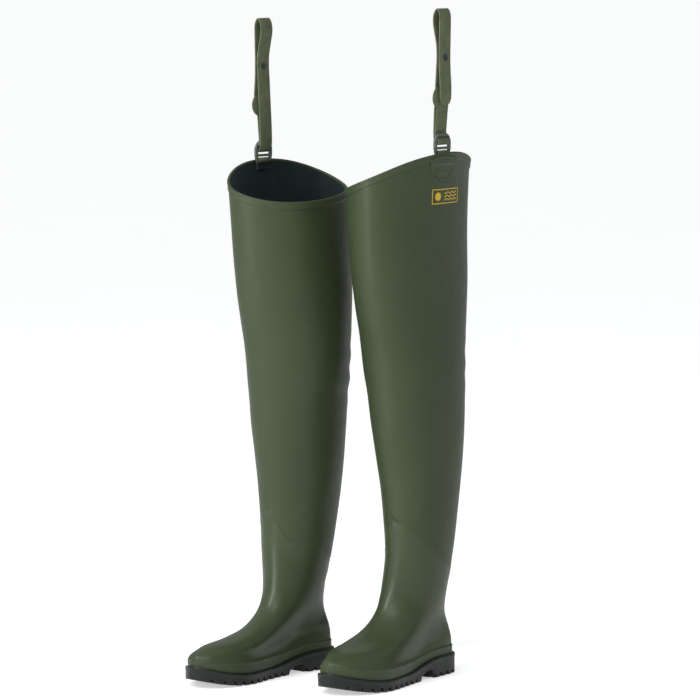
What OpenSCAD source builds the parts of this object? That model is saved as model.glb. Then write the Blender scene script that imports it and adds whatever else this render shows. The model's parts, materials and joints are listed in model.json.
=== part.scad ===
// A pair of hip waders: PVC thigh boots, each held up by a strap that buttons round the belt.
// +Z is up, the toes point to -Y, the wearer's left is +X, and the floor is z = 0.

/* [Stance] */
// Distance between the two boots' centre lines
stance = 168; // [168:1:240]
// How far the left boot stands behind the right one
stagger = 82; // [0:1:150]
// Angle by which each foot points outward
toe_out = 3; // [0:0.5:6]
// How much lower the right leg has settled
right_slump = 18; // [0:1:30]

/* [Sole] */
// Length of the outsole
sole_len = 300; // [280:1:320]
// Height of the sole's top under the ball of the foot
ball_h = 17; // [14:0.5:22]
// Height of the sole's top under the heel
heel_h = 31; // [26:0.5:38]
// How far the toe end of the sole's top rises above the ball
toe_spring = 18; // [8:1:22]
// Depth of the tread grooves
tread_d = 6.5; // [3:0.5:7]
// Width of one tread groove
groove_w = 5; // [3:0.5:5]

/* [Upper] */
// Ledge between the edge of the sole and the upper
upper_inset = 6; // [5:0.5:8]
// Wall of the boot shell
shell_t = 2.4; // [1.5:0.1:3]
// Thickness of the foxing band
foxing_t = 2; // [1.5:0.1:3]
// Thickness of the fabric lining
lining_t = 0.9; // [0.6:0.1:1.5]

/* [Leg] */
// Wall of the PVC leg
leg_t = 1.6; // [1:0.1:2]
// Height of the rim on the inner side, before its dip
rim_low = 750; // [720:1:780]
// How much higher the rim is at the strap
rim_rise = 47; // [30:1:60]
// Height of the reinforced hem under the rim
hem_h = 11; // [8:0.5:16]
// Thickness of the hem band
hem_t = 1.2; // [0.8:0.1:2]

/* [Strap] */
// Width of the strap
strap_w = 26; // [22:1:30]
// Thickness of the strap
strap_t = 1.8; // [1.4:0.1:1.8]
// Height of the press stud above the rim
stud_z = 141; // [139:1:143]
// Width of the paddle on the strap's tail
paddle_w = 33; // [28:1:34]

/* [Buckle] */
// Overall width of the buckle
buckle_w = 37; // [37:1:40]
// Thickness of the buckle's bars and rails
buckle_t = 3.6; // [3:0.1:3.6]

/* [Hidden] */

// ---- Colours ----
pvc_green = [0.29, 0.35, 0.24];
band_green = [0.31, 0.37, 0.26];
strap_green = [0.33, 0.37, 0.25];
buckle_green = [0.36, 0.40, 0.34];
sole_black = [0.14, 0.16, 0.14];
cloth_teal = [0.12, 0.17, 0.17];
label_yellow = [0.80, 0.66, 0.18];
stud_metal = [0.22, 0.24, 0.23];
steel_grey = [0.55, 0.56, 0.58];

// ---- Curves ----
N = 32;      // points round each ring
gap = 0.25;  // clearance between neighbouring skins
E = 0.01;    // overlap that joins or cuts cleanly

function mix(a, b, t) = a + (b - a) * t;
function unit(v) = v / norm(v);
function ease(t) = let (c = min(1, max(0, t))) c * c * (3 - 2 * c);
function spline(a, b, c, d, t) =
  0.5 * (2 * b + (c - a) * t + (2 * a - 5 * b + 4 * c - d) * t * t + (3 * b - a - 3 * c + d) * t * t * t);
function closed_curve(p, parts) = let (n = len(p))
  [for (i = [0 : n - 1], k = [0 : parts - 1])
    spline(p[(i + n - 1) % n], p[i], p[(i + 1) % n], p[(i + 2) % n], k / parts)];
function open_curve(p, parts) = let (n = len(p) - 1)
  [for (i = [0 : n - 1], k = [0 : parts - 1])
    spline(p[max(0, i - 1)], p[i], p[i + 1], p[min(n, i + 2)], k / parts), p[n]];
function outset(p, d) = let (n = len(p))
  [for (i = [0 : n - 1]) let (t = unit(p[(i + 1) % n] - p[(i + n - 1) % n])) p[i] + d * [-t[1], t[0]]];
function xs(p) = [for (q = p) q[0]];
function ss(p) = [for (q = p) q[1]];

// A boot is drawn about its own centre line: x outward, y = -s with s forward from the heel.

// ---- Sole ----
// Edge of the outsole as [x, s], from the toe round the outer side to the heel and back
sole_curve = [[-3, 300], [22, 288], [42, 258], [52, 212], [45, 157], [37, 107], [35, 60], [29, 17],
              [0, 0], [-29, 17], [-32, 60], [-29, 107], [-35, 157], [-46, 212], [-42, 258], [-27, 288]];
k_len = sole_len / 300;
sole_line = [for (p = sole_curve) [p[0], p[1] * k_len]];
sole_edge = closed_curve(sole_line, N / len(sole_line));
welt_edge = closed_curve(sole_line, 6);  // finer, for the outsole's own wall
upper_edge = outset(sole_edge, -upper_inset);
u_heel = min(ss(upper_edge));
u_toe = max(ss(upper_edge));
u_out = max(xs(upper_edge));
u_in = -min(xs(upper_edge));

// Stations along the sole, and the heights of its top and of its tread there
top_s = [-5, 62, 85, 107, 132, 157, 200, 225, 250, 272, 288, 310];
function top_rule(s) =
  mix(heel_h, ball_h, ease((s - 58) / 97)) + toe_spring * pow(max(0, s - 196) / 104, 2);
top_table = [for (s = top_s) [s * k_len, top_rule(s)]];
function sole_top(s) = lookup(s, top_table);
tread_table = [[-5, 0], [80, 0], [84, 14], [100, 12], [113, 6], [115, 0], [215, 0], [240, 1.6], [265, 5.2],
               [285, 9.8], [310, 17]];
bottom_table = [for (p = tread_table) [p[0] * k_len, p[1]]];
function sole_bottom(s) = lookup(s, bottom_table);
foxing_table = [[-5, 14], [40, 14], [90, 15], [150, 20], [225, 20], [272, 16], [310, 14]];
function foxing_h(s) = lookup(s / k_len, foxing_table);

module plan(edge) polygon([for (p = edge) [p[0], -p[1]]]);
// A slab between two height curves, running across the boot
module across(low, high, width) rotate([90, 0, -90]) linear_extrude(width, center = true)
  polygon(concat(low, [for (i = [len(high) - 1 : -1 : 0]) high[i]]));
function raised(table, dz) = [for (p = table) [p[0], p[1] + dz]];

lip_h = 5;      // height of the welt along the top of the sole
lip_ledge = 0.6; // how far the welt stands out over the side wall
side_cuts = concat([for (s = [8 : 17 : 76]) s], [for (s = [131 : 16.5 : 290]) s]);
shank_w = 18;
shank_t = 1.5;
shank_line = [for (s = [72, 85, 107, 132, 157, 168]) [s * k_len, sole_top(s * k_len)]];

module outsole() color(sole_black) difference() {
  union() {
    intersection() {
      across(bottom_table, top_table, 160);
      linear_extrude(60) plan(outset(welt_edge, -lip_ledge));
    }
    intersection() {
      across(raised(top_table, -lip_h), top_table, 160);
      linear_extrude(60) plan(welt_edge);
    }
  }
  // Notches round both edges of the tread
  for (s = side_cuts, side = [-1, 1])
    translate([side * 42, -s * k_len, sole_bottom(s * k_len) + tread_d - 10])
      rotate([0, 0, side * 8]) cube([36, groove_w, 20], center = true);
  // Chevron grooves across the middle
  for (s = [139 : 16.5 : 272], side = [-1, 1])
    translate([side * 9, -s * k_len, sole_bottom(s * k_len) + tread_d - 10])
      rotate([0, 0, side * 20]) cube([24, groove_w, 20], center = true);
  for (s = [17 : 17 : 68])
    translate([0, -s * k_len, tread_d - 10]) cube([36, groove_w, 20], center = true);
  // Pocket for the shank
  across(raised(shank_line, -shank_t - gap), raised(shank_line, 1), shank_w + 2 * gap);
}

module shank() color(steel_grey)
  across(raised(shank_line, -shank_t), raised(shank_line, -gap), shank_w);

module foxing() color(band_green) intersection() {
  across(raised(top_table, E), [for (p = top_table) [p[0], p[1] + foxing_h(p[0])]], 160);
  linear_extrude(120) difference() {
    plan(outset(sole_edge, foxing_t + gap - upper_inset));
    plan(outset(sole_edge, gap - upper_inset));
  }
}

insole_rise = 4.2;
insole_t = 4;
module insole() color(cloth_teal) intersection() {
  across(raised(top_table, insole_rise), raised(top_table, insole_rise + insole_t), 160);
  linear_extrude(120) plan(outset(sole_edge, -15.5));
}

// ---- Upper and leg ----
// Rings from the feather edge to the rim. Each row holds the front point [s, z], the back point
// [s, z], the outer and inner half widths, the share of the sole's outline in the ring's shape,
// the share of the sole's rise and fall, and the share of the rim's curve.
feather = 5;
rings = [
  [u_toe - feather, 0.9, u_heel + feather, 0.9, u_out - feather, u_in - feather, 1, 1, 0],
  [u_toe, 7, u_heel, 6, u_out, u_in, 1, 1, 0],
  [u_toe, 15, u_heel, 14, u_out, u_in, 1, 1, 0],
  [283, 25, 6, 25, 43.8, 37.8, 1, 0.9, 0],
  [262, 35, 9, 37, 41, 37.5, 0.8, 0.7, 0],
  [232, 42.5, 13, 49, 38, 35, 0.55, 0.5, 0],
  [200, 51, 17, 60, 36, 34, 0.35, 0.35, 0],
  [173, 62, 19, 70, 35.5, 34.5, 0.2, 0.2, 0],
  [152, 77, 20, 81, 36.5, 36, 0.1, 0.1, 0],
  [141, 96, 20, 91, 38, 38, 0.05, 0, 0],
  [136.5, 116, 19.5, 100, 39.5, 40, 0, 0, 0],
  [134, 140, 17.5, 110, 41, 41.5, 0, 0, 0],
  [132.5, 169, 15, 120, 42, 43.5, 0, 0, 0],
  [133, 200, 11.5, 134, 43, 45.5, 0, 0, 0],
  [135.5, 233, 8, 149, 43.5, 47.5, 0, 0, 0],
  [137.5, 254, 3.5, 169, 45, 49.5, 0, 0, 0],
  [141, 279, -2.5, 201, 46, 52, 0, 0, 0],
  [146, 306, -10, 246, 47.5, 56.5, 0, 0, 0],
  [151, 334, -15.5, 292, 49, 60.5, 0, 0, 0],
  [156, 363, -18.5, 343, 50.5, 64.5, 0, 0, 0],
  [160, 402, -19.5, 402, 51.5, 70, 0, 0, 0],
  [164, 433, -19.5, 433, 52, 76, 0, 0, 0],
  [168, 464, -20, 464, 51.5, 79, 0, 0, 0],
  [174, 495, -22.5, 495, 50.5, 80, 0, 0, 0],
  [182, 526, -25, 526, 49.5, 81, 0, 0, 0],
  [191.5, 569, -27.5, 569, 49, 81.5, 0, 0, 0],
  [198.5, 619, -26.5, 619, 50, 80, 0, 0, 0.25],
  [202, 669, -25.5, 669, 53, 77, 0, 0, 0.55],
  [204, 704, -25, 704, 57.5, 72, 0, 0, 0.85],
  [204.5, 719, -25.5, 719, 61, 68, 0, 0, 1]
];
seam_row = 14;
knee_low = 20;
knee_high = 24;
rim_row = len(rings) - 1;
ring_base = 31;  // height that the rows' z values count from
rim_ref = 719;   // the last row's z value
k_leg = (rim_low - ring_base) / rim_ref;

// Above soft_z the leg is soft: it gives up its height there and turns to face straight ahead
soft_z = 230;
settle_run = 330;
turn_run = 270;
function settle(z) = z - $slump * ease((z - soft_z) / settle_run);
function straighten(z) = toe_out * ease((z - soft_z) / turn_run);
// The rim rises to its peak under the strap
peak_back = 8;   // degrees by which the peak lies behind the outermost point
function rim_lift(u) = rim_rise * pow(0.5 + 0.5 * sin(u - peak_back), 2);
// 1 toward the inner front of a ring, where the soft rim flares out and dips
rim_flare = 9;
rim_dip = 9;
flare_at = 65;   // degrees from the front toward the inner side
function inner_front(u) = pow(max(0, cos(u + flare_at)), 2);
// The instep's ridge lies toward the inner side, and slanted rings sag between front and back
ridge_in = 9;
outer_drop = 14;  // how much lower the instep's outer side lies
sag = 0.6;
function ridge(z) = ridge_in * ease((z - 15) / 30) * (1 - ease((z - 90) / 90));
function dropped(z) = outer_drop * ease((z - 28) / 25) * (1 - ease((z - 80) / 70));
function sagged(g, rise) = pow(g, 1 + sag * min(1, max(0, rise) / 70));

function ring(r) = let (
    low = sole_top(u_heel), high = sole_top(u_toe), mid = [0, (r[0] + r[2]) / 2],
    turn = straighten((r[1] + r[3]) / 2 + ring_base))
  [for (j = [0 : N - 1]) let (
      u = 360 * j / N, p = upper_edge[j],
      across_leg = (sin(u) >= 0 ? r[4] : r[5]) * sin(u),
      across_foot = p[0] * (p[0] >= 0 ? r[4] / u_out : r[5] / u_in),
      g = mix(0.5 + 0.5 * cos(u), (p[1] - u_heel) / (u_toe - u_heel), r[6]),
      x = mix(across_leg, across_foot, r[6]) - ridge(r[1]) * g * g,
      s = mix(r[2], r[0], g),
      flat = mix(low, high, (s - u_heel) / (u_toe - u_heel)),
      base = r[7] > 0 ? flat : ring_base,
      curl = r[8] * inner_front(u),
      rise = k_leg * mix(r[3], r[1], sagged(g, r[6] > 0 ? 0 : r[1] - r[3])),
      z = rise + base + r[7] * (sole_top(s) - flat) + r[8] * rim_lift(u)
        - dropped(r[1]) * g * g * max(0, sin(u)) - rim_dip * curl,
      v = [x - rim_flare * curl, s - mid[1] + 0.6 * rim_flare * curl])
    [v[0] * cos(turn) - v[1] * sin(turn), -mid[1] - v[1] * cos(turn) - v[0] * sin(turn), settle(z)]];

function outer_grid() = [for (r = rings) ring(r)];
function normal_at(G, i, j) = let (top = len(G) - 1)
  unit(cross(G[i][(j + 1) % N] - G[i][(j + N - 1) % N], G[min(top, i + 1)][j] - G[max(0, i - 1)][j]));
// The grid moved outward by d, between two of its rows
function moved(G, d, first, last) =
  [for (i = [first : last]) [for (j = [0 : N - 1]) G[i][j] + d * normal_at(G, i, j)]];

// Faces of a skin made of an outer and an inner stack of rings
function walls(rows, start, outward) =
  [for (i = [0 : rows - 2], j = [0 : N - 1])
    let (a = start + i * N + j, b = start + i * N + (j + 1) % N, c = b + N, d = a + N)
    each outward ? [[a, d, c], [a, c, b]] : [[a, c, d], [a, b, c]]];
function end_ring(a0, b0, upward) =
  [for (j = [0 : N - 1]) let (k = (j + 1) % N)
    each upward ? [[a0 + k, a0 + j, b0 + j], [a0 + k, b0 + j, b0 + k]]
                : [[a0 + k, b0 + j, a0 + j], [a0 + k, b0 + k, b0 + j]]];
function floor_cap(start, downward) =
  [for (k = [0 : N / 2 - 1]) let (
      a = start + k, b = start + k + 1, c = start + N - k - 1, d = start + (N - k) % N)
    each k == 0 ? [downward ? [a, b, c] : [a, c, b]]
      : k == N / 2 - 1 ? [downward ? [a, b, d] : [a, d, b]]
      : downward ? [[a, b, c], [a, c, d]] : [[a, c, b], [a, d, c]]];
function flat_list(rows) = [for (r = rows) each r];

// A sleeve open at both ends, or a sock closed at the foot
module skin(outside, inside, closed = false) {
  n = len(outside);
  polyhedron(
    points = concat(flat_list(outside), flat_list(inside)),
    faces = concat(
      walls(n, 0, true),
      walls(n, n * N, false),
      end_ring((n - 1) * N, (2 * n - 1) * N, true),
      closed ? concat(floor_cap(0, true), floor_cap(n * N, false)) : end_ring(0, n * N, false)));
}
module leg_skin(depth, thickness, first, last, closed = false) {
  G = outer_grid();
  skin(moved(G, -depth, first, last), moved(G, -depth - thickness, first, last), closed);
}

module boot_shell() color(pvc_green) leg_skin(0, shell_t, 0, seam_row, true);
module leg_lower() color(pvc_green) leg_skin(0, leg_t, seam_row, knee_low);
module leg_knee() color(pvc_green) leg_skin(0, leg_t, knee_low, knee_high);
module leg_thigh() color(pvc_green) leg_skin(0, leg_t, knee_high, rim_row);

boot_lining_depth = shell_t + gap;
leg_lining_depth = leg_t + gap;
// The lining steps from the boot's thicker wall to the leg's thinner one
function moved_lining(G, d, first, last) =
  [for (i = [first : last]) let (own = d - (shell_t - leg_t) * ease((i - seam_row) / 3))
    [for (j = [0 : N - 1]) G[i][j] - own * normal_at(G, i, j)]];
module boot_lining() color(cloth_teal) {
  G = outer_grid();
  skin(moved_lining(G, boot_lining_depth, 0, knee_low),
       moved_lining(G, boot_lining_depth + lining_t, 0, knee_low), closed = true);
}
module knee_lining() color(cloth_teal) leg_skin(leg_lining_depth, lining_t, knee_low, knee_high);
module thigh_lining() color(cloth_teal) leg_skin(leg_lining_depth, lining_t, knee_high, rim_row);

// ---- Pieces on the outside of the leg ----
// A point on the leg's surface at column f and height z, moved outward by d
function column(G, j) = [for (i = [knee_high : rim_row]) [G[i][j % N][2], i]];
function on_column(G, j, z, d) = let (
    f = min(lookup(z, column(G, j)), rim_row - E), i = floor(f), t = f - i)
  mix(G[i][j % N] + d * normal_at(G, i, j % N), G[i + 1][j % N] + d * normal_at(G, i + 1, j % N), t);
function on_leg(G, f, z, d) = let (j = floor(f))
  mix(on_column(G, j, z, d), on_column(G, j + 1, z, d), f - j);

// A plate bent onto the leg: top[k] and bottom heights over a run of columns
module leg_plate(grid_in, grid_out) {
  rows = len(grid_in);
  cols = len(grid_in[0]);
  n = rows * cols;
  polyhedron(
    points = concat(flat_list(grid_out), flat_list(grid_in)),
    faces = concat(
      [for (i = [0 : rows - 2], j = [0 : cols - 2])
        let (a = i * cols + j, b = a + 1, c = b + cols, d = a + cols)
        each [[a, d, c], [a, c, b], [n + a, n + c, n + d], [n + a, n + b, n + c]]],
      [for (j = [0 : cols - 2]) let (a = j, b = j + 1) each [[a, b, n + b], [a, n + b, n + a]]],
      [for (j = [0 : cols - 2]) let (a = (rows - 1) * cols + j, b = a + 1)
        each [[a, n + b, b], [a, n + a, n + b]]],
      [for (i = [0 : rows - 2]) let (a = i * cols, d = a + cols) each [[a, n + d, d], [a, n + a, n + d]]],
      [for (i = [0 : rows - 2]) let (a = i * cols + cols - 1, d = a + cols)
        each [[a, d, n + d], [a, n + d, n + a]]]));
}

module hem_band() color(band_green) {
  G = outer_grid();
  top = [for (j = [0 : N - 1]) G[rim_row][j][2]];
  steps = [hem_h, hem_h / 2, 0];
  skin([for (h = steps) [for (j = [0 : N - 1]) on_column(G, j, top[j] - h, gap + hem_t)]],
       [for (h = steps) [for (j = [0 : N - 1]) on_column(G, j, top[j] - h, gap)]]);
}

patch_col = 8.1;    // column under the strap
patch_cols = 1.35;  // half width of the anchor patch, in columns
patch_h = 38;
patch_t = 1.4;
rim_peak = rim_low + rim_rise;
// Shield: it starts over the hem and its sides draw in toward the point
patch_drop = 3.5;  // from the rim down to the patch
function patch_grid(G, d) = [for (k = [7 : -1 : 0])
  let (half = patch_cols * sqrt(1 - pow(k / 7.05, 2)), over_hem = (hem_t + gap) * ease(3 - k))
  [for (m = [-4 : 4]) let (f = half * m / 4)
    on_leg(G, patch_col + f, settle(rim_peak) - patch_drop - patch_h * k / 7 - 3 * f * f * (1 - k / 7),
           d + over_hem)]];
module anchor_patch() color(band_green) {
  G = outer_grid();
  leg_plate(patch_grid(G, gap), patch_grid(G, gap + patch_t));
}

label_w = 66;
label_h = 23;
label_drop = 66;   // from the rim's peak to the label's centre
label_back = 12;   // from the strap's line toward the back
label_t = 0.4;
col_w = 21;        // width of one column beside the strap
function label_grid(G, d) = [for (k = [-1 : 1]) [for (m = [-4 : 4])
  on_leg(G, patch_col + (label_back + label_w * m / 8) / col_w,
         settle(rim_peak) - label_drop + k * label_h / 2, d)]];
module label() color(label_yellow) {
  G = outer_grid();
  leg_plate(label_grid(G, gap), label_grid(G, gap + label_t));
}

// ---- Strap, buckle and press stud ----
// Drawn at the rim's peak: x outward from the leg's outer surface, y along the rim, z up.
strap_back = 6;    // from the leg's outermost point back to the strap
module at_rim() {
  r = rings[rim_row];
  mid = (r[0] + r[2]) / 2;
  translate([0, -mid, settle(rim_peak)]) rotate([0, 0, -toe_out])
    translate([r[4], strap_back, 0]) children();
}
pivot = [-8.5, -1];   // the buckle's lower bar, in the loop behind the rim
bar_r = 2;
bar_clear = 0.3;
wrap_bar_z = 14.9;    // the bar that the strap is wrapped round
loop_w = 24;
loop_t = 1.5;

module upright(width) rotate([90, 0, 0]) linear_extrude(width, center = true) children();
module facing(from, to) translate([from, 0, 0]) rotate([90, 0, 90]) linear_extrude(to - from) children();
function thicken(path, t) = let (n = len(path) - 1,
    side = [for (i = [0 : n])
      let (u = unit(path[min(n, i + 1)] - path[max(0, i - 1)])) [-u[1], u[0]] * t / 2])
  concat([for (i = [0 : n]) path[i] + side[i]], [for (i = [n : -1 : 0]) path[i] - side[i]]);

// A round bar along the rim, centred at [x, z]
module bar(at, r, width)
  translate([at[0], 0, at[1]]) rotate([90, 0, 0]) cylinder(r = r, h = width, center = true, $fn = 48);
module anchor_loop() color(strap_green) at_rim() difference() {
  union() {
    bar(pivot, bar_r + bar_clear + loop_t, loop_w);
    upright(loop_w) polygon(thicken([[-6, -2], [-5.9, -6], [-7.3, -16]], loop_t));
  }
  bar(pivot, bar_r + bar_clear, loop_w + 2);
}

// Outline of the buckle and its windows, as [y, z]
buckle_side = buckle_w / 2;
window = strap_w + 1;
module buckle_outline() difference() {
  union() {
    translate([0, 14]) circle(r = 15, $fn = 64);
    polygon([[-16, -3], [16, -3], [buckle_side, 6], [buckle_side, 17], [15, 24], [8, 28.6],
             [-8, 28.6], [-15, 24], [-buckle_side, 17], [-buckle_side, 6]]);
  }
  for (span = [[1, 4.2], [8, 12.9], [17.2, 23.4]])
    translate([-window / 2, span[0]]) square([window, span[1] - span[0]]);
  translate([-window / 2, -4]) square([window, 6]);
}
module buckle() color(buckle_green) at_rim() {
  difference() {
    facing(pivot[0] - buckle_t / 2, pivot[0] + buckle_t / 2) buckle_outline();
    // Room for the round bars
    translate([pivot[0], 0, wrap_bar_z]) cube([10, window, 4.8], center = true);
  }
  for (z = [pivot[1], wrap_bar_z]) bar([pivot[0], z], bar_r, window + 1);
}

// The strap's centre line as [x, z], from the tail's paddle down through the buckle, up the
// inner run, over the belt loop and down the outer flap
strap_route = open_curve([[-6.8, 98], [-7.2, 82], [-8.6, 65], [-10.3, 45], [-11.6, 30], [-11.5, 23.4],
  [-7.6, 19.6], [-5.3, 15], [-6.3, 12.5], [-8.6, 11.7], [-11.6, 13.6], [-13.7, 20], [-14.1, 30], [-13, 60],
  [-10.6, 100], [-9.2, 125], [-8.2, 141], [-8.8, 158], [-12.2, 176], [-15.2, 192], [-14.4, 205],
  [-8.8, 213], [-3.7, 205], [-3.3, 192], [-3.7, 170], [-4.2, 141], [-3.6, 120], [-2, 95], [-2.8, 69]], 4);
divide_x = -6.2;    // between the inner run and the flap
wrap_top = 28;
tail_top = 60;
run_top = 100;
fold_z = 200;
flap_end = 69;
paddle_z = 82;
paddle_front = 7;  // how far the paddle's middle lies in front of the strap's

module strap_band(width) upright(width) polygon(thicken(strap_route, strap_t));
// Keeps what lies in x from a to b and z from low to high
module keep(a, b, low, high) intersection() {
  children();
  translate([a, -40, low]) cube([b - a, 80, high - low]);
}
module stud_hole(r)
  translate([0, 0, stud_z]) rotate([0, 90, 0]) cylinder(r = r, h = 80, center = true, $fn = 48);
// Splits the two layers beside the buckle
function between(z) = mix(-12.95, -8.75, (z - wrap_top) / 70);

module strap_wrap() color(strap_green) at_rim() keep(-20, 0, 0, wrap_top) strap_band(strap_w);
module strap_run() color(strap_green) at_rim() difference() {
  keep(-20, between(run_top), wrap_top, run_top) strap_band(strap_w);
  upright(60) polygon([[between(wrap_top), wrap_top - 1], [0, wrap_top - 1], [0, run_top + 1],
                       [between(run_top), run_top + 1]]);
}
module strap_loop() color(strap_green) at_rim() difference() {
  keep(-30, divide_x, run_top, fold_z) strap_band(strap_w);
  stud_hole(1.7);
}
module strap_fold() color(strap_green) at_rim() keep(-30, 0, fold_z, 240) strap_band(strap_w);
module strap_flap() color(strap_green) at_rim() difference() {
  intersection() {
    keep(-5.6, 5, 60, fold_z) strap_band(strap_w);
    facing(-20, 5) {
      translate([0, flap_end + strap_w / 2]) circle(d = strap_w, $fn = 64);
      translate([-strap_w / 2, flap_end + strap_w / 2]) square([strap_w, fold_z]);
    }
  }
  stud_hole(2.3);
}
module tail_band() difference() {
  keep(-13, -5.7, wrap_top, 110) strap_band(paddle_w + 2 * paddle_front);
  upright(60) polygon([[between(wrap_top), wrap_top - 1], [-20, wrap_top - 1], [-20, 120],
                       [between(run_top) - 0.6, 120], [between(run_top) - 0.6, run_top]]);
}
module tail_run() color(strap_green) at_rim() intersection() {
  keep(-13, -5.7, wrap_top, tail_top) tail_band();
  facing(-20, 0) translate([-strap_w / 2, 0]) square([strap_w, 120]);
}
module tail_paddle() color(strap_green) at_rim() intersection() {
  keep(-13, -5.7, tail_top, 97.5) tail_band();
  facing(-20, 0) {
    translate([-paddle_front, paddle_z]) circle(d = paddle_w, $fn = 64);
    translate([-strap_w / 2, 0]) square([strap_w, paddle_z]);
  }
}

// Press stud: its places along x are measured at the stud's height
flap_x = -4.2;
run_x = -8.2;
module stud_turned(x) at_rim() translate([x, 0, stud_z]) rotate([0, 90, 0]) children();
module snap_cap() color(stud_metal) stud_turned(flap_x + strap_t / 2 + 0.15) difference() {
  union() {
    cylinder(r1 = 5.2, r2 = 4.2, h = 1, $fn = 48);
    translate([0, 0, -strap_t - 0.2]) cylinder(r = 2, h = strap_t + 0.3, $fn = 48);
  }
  translate([0, 0, -0.2]) cylinder(r = 1.2, h = 2, $fn = 32);
}
module snap_socket() color(stud_metal) stud_turned(flap_x - strap_t / 2 - 1.15) difference() {
  cylinder(r = 4.8, h = 1, $fn = 48);
  translate([0, 0, -1]) cylinder(r = 2.3, h = 3, $fn = 48);
}
module snap_stud() color(stud_metal) stud_turned(run_x + strap_t / 2 + 0.1) {
  cylinder(r = 4.6, h = 0.7, $fn = 48);
  cylinder(r = 1.9, h = 1.6, $fn = 48);
}
module snap_post() color(stud_metal) stud_turned(run_x - strap_t / 2 - 1.05) {
  cylinder(r = 4.6, h = 0.8, $fn = 48);
  cylinder(r = 1.5, h = strap_t + 1, $fn = 48);
}

// ---- The pair ----
heel_mid = 136;  // puts the pair's box over the origin
module left() {
  $slump = 0;
  translate([stance / 2, heel_mid + stagger / 2, 0]) rotate([0, 0, toe_out]) children();
}
module right() {
  $slump = right_slump;
  translate([-stance / 2, heel_mid - stagger / 2, 0]) mirror([1, 0, 0]) rotate([0, 0, toe_out]) children();
}

left() outsole();  // left_outsole
left() foxing();  // left_foxing
left() boot_shell();  // left_boot_shell
left() leg_lower();  // left_leg_lower
left() leg_knee();  // left_leg_knee
left() leg_thigh();  // left_leg_thigh
left() hem_band();  // left_hem_band
left() anchor_patch();  // left_anchor_patch
left() anchor_loop();  // left_anchor_loop
left() label();  // left_label
left() boot_lining();  // left_boot_lining
left() knee_lining();  // left_knee_lining
left() thigh_lining();  // left_thigh_lining
left() insole();  // left_insole
left() shank();  // left_shank
left() buckle();  // left_buckle
left() strap_wrap();  // left_strap_wrap
left() strap_run();  // left_strap_run
left() strap_loop();  // left_strap_loop
left() strap_fold();  // left_strap_fold
left() strap_flap();  // left_strap_flap
left() tail_run();  // left_tail_run
left() tail_paddle();  // left_tail_paddle
left() snap_cap();  // left_snap_cap
left() snap_socket();  // left_snap_socket
left() snap_stud();  // left_snap_stud
left() snap_post();  // left_snap_post
right() outsole();  // right_outsole
right() foxing();  // right_foxing
right() boot_shell();  // right_boot_shell
right() leg_lower();  // right_leg_lower
right() leg_knee();  // right_leg_knee
right() leg_thigh();  // right_leg_thigh
right() hem_band();  // right_hem_band
right() anchor_patch();  // right_anchor_patch
right() anchor_loop();  // right_anchor_loop
right() label();  // right_label
right() boot_lining();  // right_boot_lining
right() knee_lining();  // right_knee_lining
right() thigh_lining();  // right_thigh_lining
right() insole();  // right_insole
right() shank();  // right_shank
right() buckle();  // right_buckle
right() strap_wrap();  // right_strap_wrap
right() strap_run();  // right_strap_run
right() strap_loop();  // right_strap_loop
right() strap_fold();  // right_strap_fold
right() strap_flap();  // right_strap_flap
right() tail_run();  // right_tail_run
right() tail_paddle();  // right_tail_paddle
right() snap_cap();  // right_snap_cap
right() snap_socket();  // right_snap_socket
right() snap_stud();  // right_snap_stud
right() snap_post();  // right_snap_post
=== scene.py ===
import json
import math

import bmesh
import bpy
import numpy as np
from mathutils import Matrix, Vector


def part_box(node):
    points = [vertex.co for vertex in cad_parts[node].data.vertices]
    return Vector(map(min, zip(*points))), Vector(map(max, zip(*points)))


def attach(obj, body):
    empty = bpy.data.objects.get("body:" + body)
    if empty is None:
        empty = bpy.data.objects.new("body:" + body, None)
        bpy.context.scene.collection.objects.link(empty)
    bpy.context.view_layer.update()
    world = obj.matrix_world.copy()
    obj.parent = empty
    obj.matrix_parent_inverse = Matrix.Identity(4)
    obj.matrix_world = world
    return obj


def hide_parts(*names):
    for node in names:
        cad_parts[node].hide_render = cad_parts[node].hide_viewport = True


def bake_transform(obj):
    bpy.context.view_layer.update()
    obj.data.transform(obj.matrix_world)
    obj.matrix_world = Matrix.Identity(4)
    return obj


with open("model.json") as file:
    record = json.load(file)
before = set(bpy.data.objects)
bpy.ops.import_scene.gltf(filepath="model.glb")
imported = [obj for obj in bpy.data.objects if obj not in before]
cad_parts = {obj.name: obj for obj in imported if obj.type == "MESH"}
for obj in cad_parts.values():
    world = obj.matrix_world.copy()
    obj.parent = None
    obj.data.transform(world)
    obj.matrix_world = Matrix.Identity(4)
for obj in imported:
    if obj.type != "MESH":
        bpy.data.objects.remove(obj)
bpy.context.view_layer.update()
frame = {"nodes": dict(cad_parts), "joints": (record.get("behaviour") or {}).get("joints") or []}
SIDES = ("left", "right")
MM = 0.001

# ---- The design's own dimensions, as in the CAD, in millimetres ----
STANCE, STAGGER, TOE_OUT, HEEL_MID = 168, 82, 3, 136
SLUMP = {"left": 0, "right": 18}
HEEL_H, BALL_H, TOE_SPRING = 31, 17, 18
UPPER_INSET, SHELL_T, LEG_T, LINING_T, GAP = 6, 2.4, 1.6, 0.9, 0.25
RIM_LOW, RIM_RISE, PEAK_BACK, HEM_H = 750, 47, 8, 11
RIM_FLARE, RIM_DIP, FLARE_AT = 9, 9, 65
SOFT_Z, SETTLE_RUN, TURN_RUN = 230, 330, 270
RING_BASE, FEATHER, RIDGE_IN, OUTER_DROP, SAG = 31, 5, 9, 14, 0.6
SEAM_ROW, RIM_ROW = 14, 29
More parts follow.
